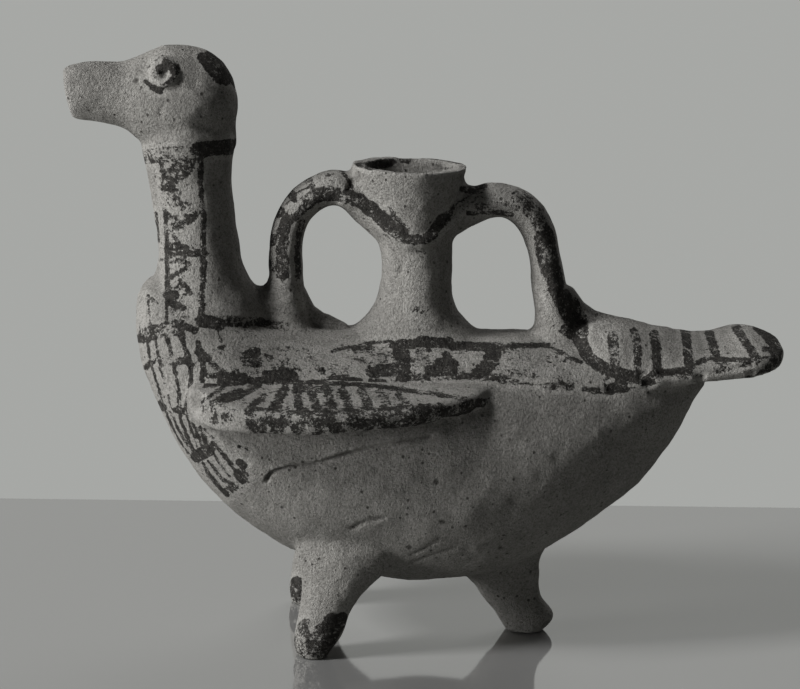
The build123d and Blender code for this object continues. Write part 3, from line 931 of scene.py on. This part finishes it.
class Nodes:
    """Makes the nodes of one material. Sizes are in millimetres."""

    def __init__(self, name):
        self.material = bpy.data.materials.new(name)
        self.material.use_nodes = True
        self.tree = self.material.node_tree
        self.shader = self.tree.nodes["Principled BSDF"]
        place = self.tree.nodes.new("ShaderNodeTexCoord").outputs["Object"]
        self.place = self.vector("MULTIPLY", place, (1 / MM, 1 / MM, 1 / MM))

    def put(self, socket, value):
        """Links another node's output to a socket, or sets its value."""
        if isinstance(value, bpy.types.NodeSocket):
            self.tree.links.new(value, socket)
        else:
            socket.default_value = value

    def vector(self, operation, a, b):
        node = self.tree.nodes.new("ShaderNodeVectorMath")
        node.operation = operation
        self.put(node.inputs[0], a)
        self.put(node.inputs[1], b)
        return node.outputs[0]

    def math(self, operation, *values):
        node = self.tree.nodes.new("ShaderNodeMath")
        node.operation = operation
        for socket, value in zip(node.inputs, values):
            self.put(socket, value)
        return node.outputs[0]

    def weighted(self, *parts):
        """Sum of outputs, each times its weight."""
        result, *others = (self.math("MULTIPLY", value, weight) for value, weight in parts)
        for other in others:
            result = self.math("ADD", result, other)
        return result

    def centred(self, settings):
        """Noise that is as often below 0 as above it."""
        return self.math("SUBTRACT", self.noise(*settings), 0.5)

    def step(self, value, low, high, to_low=0.0, to_high=1.0):
        """Smooth change from one value to another."""
        node = self.tree.nodes.new("ShaderNodeMapRange")
        node.interpolation_type = "SMOOTHSTEP"
        for name, v in zip(("Value", "From Min", "From Max", "To Min", "To Max"),
                           (value, low, high, to_low, to_high)):
            self.put(node.inputs[name], v)
        return node.outputs["Result"]

    def noise(self, size, detail, rough, shift=0.0, stretch=(1, 1, 1)):
        """Lumpy noise, drawn out along the axes whose stretch is under 1."""
        node = self.tree.nodes.new("ShaderNodeTexNoise")
        place = self.vector("MULTIPLY", self.place, stretch)
        self.put(node.inputs["Vector"], self.vector("ADD", place, (shift, 0, 0)))
        self.put(node.inputs["Scale"], 1 / size)
        self.put(node.inputs["Detail"], detail)
        self.put(node.inputs["Roughness"], rough)
        return node.outputs[0]

    def spots(self, spacing, size, share, shift=0.0):
        """1 inside scattered spots up to the given size across."""
        cells = self.tree.nodes.new("ShaderNodeTexVoronoi")
        place = self.vector("ADD", self.place, (shift, shift, 0))
        self.put(cells.inputs["Vector"], place)
        self.put(cells.inputs["Scale"], 1 / spacing)
        chance = self.tree.nodes.new("ShaderNodeSeparateColor")
        self.put(chance.inputs[0], cells.outputs["Color"])
        radius = self.step(chance.outputs[0], 1 - share, 1.0, 0.0, size / spacing / 2)
        depth = self.math("SUBTRACT", radius, cells.outputs["Distance"])
        return self.step(depth, 0.0, SPOT_EDGE * size / spacing)

    def mix(self, factor, a, b):
        """Mix of two colours, whose sockets come after those for floats and vectors."""
        node = self.tree.nodes.new("ShaderNodeMix")
        node.data_type = "RGBA"
        self.put(node.inputs[0], factor)
        self.put(node.inputs[6], a)
        self.put(node.inputs[7], b)
        return node.outputs[2]

    def attribute(self, name):
        """Value stored on the vertices under this name."""
        node = self.tree.nodes.new("ShaderNodeAttribute")
        node.attribute_name = name
        return node.outputs["Fac"]


# Colours of the material, all nearly grey as in the black and white photograph
CLAY_DARK = (0.098, 0.094, 0.086, 1)
CLAY_PALE = (0.232, 0.225, 0.209, 1)
CLAY_SLIP = (0.400, 0.390, 0.366, 1)
CLAY_DUST = (0.400, 0.391, 0.370, 1)
# Dark clay for specks, and for the painted shade in hollows and creases
CLAY_GRIME_AND_SHADE = (0.062, 0.059, 0.054, 1)
PORE = (0.045, 0.042, 0.038, 1)
PAINT_DARK = (0.017, 0.016, 0.015, 1)
PAINT_WORN = (0.052, 0.049, 0.045, 1)

# Noises: size of the lumps, detail, roughness, shift that sets each apart, stretch
CLOUDS = (26, 4, 0.6)
PATCHES = (4.5, 5, 0.68, 40)
SAND = (1.4, 3, 0.8, 90)
SPECKLE = (0.9, 3, 0.85, 110)
RAGGED = (1.3, 4, 0.7, 15)
WAVERING = (3.6, 2, 0.5, 45)
RUBBED = (1.15, 5, 0.78, 60)
STREAKS = (1.0, 3, 0.7, 83, (0.3, 1, 1))
WORN_AREAS = (5.5, 3, 0.6, 75)
FLECKS = (1.0, 3, 0.75, 130)
THIN_PAINT = (2.2, 4, 0.7, 5)
GRAIN = (1.0, 3, 0.85, 22)
LUMPS = (3.2, 4, 0.7, 33)
UPRIGHT_WIPES = (1.5, 3, 0.6, 51, (1, 1, 0.08))
LEVEL_WIPES = (1.8, 3, 0.6, 67, (0.12, 1, 1))

# Spots: spacing, greatest size, share of the places that have one, shift
SMALL_PORES = (2.4, 1.5, 0.45)
LARGE_PORES = (8.5, 3.2, 0.30, 31)
GRITS = (2.7, 1.4, 0.40, 57)
SPOT_EDGE = 0.25

# Smooth changes: from, to and the results there, which are else 0 and 1
CLAY_TONES = (0.42, 0.58)
SLIP_BY_PAINT = (-4.0, -1.0, 0.0, 0.72)
# Painted shade, with some grime, where a vertex lies below the surface round it
SHADE_AND_GRIME_IN_HOLLOWS = (-0.10, -0.7, 0.0, 0.55)
DUST_ON_EDGES = (0.12, 0.8, 0.0, 0.30)
DARK_SPECKLES = (0.50, 0.36, 0.0, 0.55)
PALE_SPECKLES = (0.53, 0.66, 0.0, 0.34)
PAINT_EDGE = (-0.22, 0.14)
PAINT_HOLDS = (-0.02, 0.035)
FLECKS_GONE = (0.58, 0.68, 1.0, 0.5)
PAINT_TONES = (0.35, 0.72)

# How far a stroke's edge wanders, and how strength limits the wear of its paint
RAGGED_MM, WAVERING_MM = 1.9, 2.0
WEAR_LIMIT, WEAR_LIMIT_GAIN = 0.37, 0.25

# Greatest shares of grits, pores and paint in the colour, and the sheen
GRIT_SHARE, PORE_SHARE, PAINT_SHARE = 0.55, 0.80, 0.96
ROUGHNESS, GRAIN_ROUGHNESS, PAINT_ROUGHNESS = 0.78, 0.16, -0.16
SPECULAR = 0.03


def clay_colour(n, pores, grits):
    """Fired clay: cloudy, gritty, paler on rubbed edges, and darker in hollows, where
    painted shade and some grime lie.
    """
    tones = n.weighted(
        (n.noise(*CLOUDS), 0.30),
        (n.noise(*PATCHES), 0.30),
        (n.noise(*SAND), 0.40),
    )
    paint, raised = n.attribute("paint"), n.attribute("relief")
    speckle = n.noise(*SPECKLE)
    colour = n.mix(n.step(tones, *CLAY_TONES), CLAY_DARK, CLAY_PALE)
    colour = n.mix(n.step(paint, *SLIP_BY_PAINT), colour, CLAY_SLIP)
    # Painted shade and some grime darken the hollows and creases
    colour = n.mix(n.step(raised, *SHADE_AND_GRIME_IN_HOLLOWS), colour, CLAY_GRIME_AND_SHADE)
    colour = n.mix(n.step(raised, *DUST_ON_EDGES), colour, CLAY_DUST)
    colour = n.mix(n.step(speckle, *DARK_SPECKLES), colour, CLAY_GRIME_AND_SHADE)
    colour = n.mix(n.step(speckle, *PALE_SPECKLES), colour, CLAY_DUST)
    colour = n.mix(n.math("MULTIPLY", grits, GRIT_SHARE), colour, CLAY_DUST)
    return n.mix(n.math("MULTIPLY", pores, PORE_SHARE), colour, PORE)


def paint_left(n):
    """Where paint still covers the clay: ragged strokes, rubbed thin in specks."""
    edge = n.math("MULTIPLY_ADD", n.centred(RAGGED), RAGGED_MM, n.attribute("paint"))
    edge = n.math("MULTIPLY_ADD", n.centred(WAVERING), WAVERING_MM, edge)
    inside = n.step(edge, *PAINT_EDGE)
    rubbed = n.weighted(
        (n.noise(*RUBBED), 0.50),
        (n.noise(*STREAKS), 0.16),
        (n.noise(*WORN_AREAS), 0.34),
        (n.attribute("relief"), 0.10),
    )
    limit = n.math("MULTIPLY_ADD", n.attribute("ink"), WEAR_LIMIT_GAIN, WEAR_LIMIT)
    held = n.step(n.math("SUBTRACT", limit, rubbed), *PAINT_HOLDS)
    specks = n.step(n.noise(*FLECKS), *FLECKS_GONE)
    return n.math("MULTIPLY", n.math("MULTIPLY", inside, held), specks)


def clay_material():
    """Painted clay. The bump's weights are heights in millimetres."""
    n = Nodes("painted_clay")
    pores = n.math("MAXIMUM", n.spots(*SMALL_PORES), n.spots(*LARGE_PORES))
    grits = n.spots(*GRITS)
    grain = n.noise(*GRAIN)
    paint = paint_left(n)
    painted = n.mix(n.step(n.noise(*THIN_PAINT), *PAINT_TONES), PAINT_DARK, PAINT_WORN)
    covered = n.math("MULTIPLY", paint, PAINT_SHARE)
    colour = n.mix(covered, clay_colour(n, pores, grits), painted)
    n.put(n.shader.inputs["Base Color"], colour)
    rough = n.math("MULTIPLY_ADD", grain, GRAIN_ROUGHNESS, ROUGHNESS)
    rough = n.math("MULTIPLY_ADD", paint, PAINT_ROUGHNESS, rough)
    n.put(n.shader.inputs["Roughness"], rough)
    n.shader.inputs["Specular IOR Level"].default_value = SPECULAR
    height = n.weighted(
        (grain, 1.40),
        (n.noise(*LUMPS), 0.80),
        (n.noise(*UPRIGHT_WIPES), 0.20),
        (n.noise(*LEVEL_WIPES), 0.14),
        (pores, -0.45),
        (grits, 0.12),
        (paint, 0.035),
    )
    bump = n.tree.nodes.new("ShaderNodeBump")
    bump.inputs["Distance"].default_value = MM
    n.put(bump.inputs["Height"], height)
    n.put(n.shader.inputs["Normal"], bump.outputs["Normal"])
    return n.material


# Stage, in metres and watts

# Table top: how far it reaches, and where it ends behind the object
FLOOR_REACH, TABLE_EDGE = 1.4, 0.172
FLOOR_COLOUR, FLOOR_ROUGHNESS, FLOOR_POLISH = (0.50, 0.50, 0.49, 1), 0.07, 0.6
BACKDROP_COLOUR = (0.385, 0.392, 0.378, 1)
FILL_COLOUR, FILL_STRENGTH = (1.0, 1.0, 1.0, 1), 0.035
# Lamps: place, size and power, all aimed at the lit point
LAMPS = {
    "key": ((-3.22, -1.10, 2.60), 0.8, 158),
    "low": ((-3.32, -0.92, 0.24), 1.0, 118),
    "back": ((1.20, 2.60, 1.90), 1.6, 36),
}
LIT_POINT = (0, 0, 0.1)


def add_floor():
    """A polished table that ends behind the object, as in the photograph."""
    mesh = bpy.data.meshes.new("floor")
    corners = [(-FLOOR_REACH, -FLOOR_REACH, 0), (FLOOR_REACH, -FLOOR_REACH, 0),
               (FLOOR_REACH, TABLE_EDGE, 0), (-FLOOR_REACH, TABLE_EDGE, 0)]
    mesh.from_pydata(corners, [], [(0, 1, 2, 3)])
    floor = bpy.data.objects.new("floor", mesh)
    bpy.context.scene.collection.objects.link(floor)
    material = bpy.data.materials.new("floor")
    material.use_nodes = True
    shader = material.node_tree.nodes["Principled BSDF"]
    shader.inputs["Base Color"].default_value = FLOOR_COLOUR
    shader.inputs["Roughness"].default_value = FLOOR_ROUGHNESS
    shader.inputs["Metallic"].default_value = FLOOR_POLISH
    mesh.materials.append(material)


def add_lamp(name, place, size, power):
    """Square lamp that no polished surface mirrors."""
    data = bpy.data.lights.new(name, "AREA")
    data.size = size
    data.energy = power
    lamp = bpy.data.objects.new(name, data)
    lamp.location = place
    lamp.visible_glossy = False
    aim = Vector(LIT_POINT) - Vector(place)
    lamp.rotation_euler = aim.to_track_quat("-Z", "Y").to_euler()
    bpy.context.scene.collection.objects.link(lamp)


def add_world():
    """Dim even light, and a plain pale backdrop for the camera and for mirror images."""
    world = bpy.data.worlds.new("world")
    world.use_nodes = True
    nodes, links = world.node_tree.nodes, world.node_tree.links
    light = nodes["Background"]
    light.inputs["Color"].default_value = FILL_COLOUR
    light.inputs["Strength"].default_value = FILL_STRENGTH
    backdrop = nodes.new("ShaderNodeBackground")
    backdrop.inputs["Color"].default_value = BACKDROP_COLOUR
    path = nodes.new("ShaderNodeLightPath")
    seen = nodes.new("ShaderNodeMath")
    seen.operation = "MAXIMUM"
    links.new(path.outputs["Is Camera Ray"], seen.inputs[0])
    links.new(path.outputs["Is Glossy Ray"], seen.inputs[1])
    mix = nodes.new("ShaderNodeMixShader")
    links.new(seen.outputs[0], mix.inputs[0])
    links.new(light.outputs[0], mix.inputs[1])
    links.new(backdrop.outputs[0], mix.inputs[2])
    links.new(mix.outputs[0], nodes["World Output"].inputs["Surface"])
    bpy.context.scene.world = world


def main():
    add_camera()
    clay = clay_material()
    for node, piece in build_pieces().items():
        decorate(node, piece)
        thin_plain(piece)
        piece.data.materials.append(clay)
        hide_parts(node)
        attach(piece, "root")
        print("piece", node, len(piece.data.vertices), len(piece.data.polygons))
    add_floor()
    for name, (place, size, power) in LAMPS.items():
        add_lamp(name, place, size, power)
    add_world()
    bpy.context.scene.view_settings.view_transform = "Standard"


main()
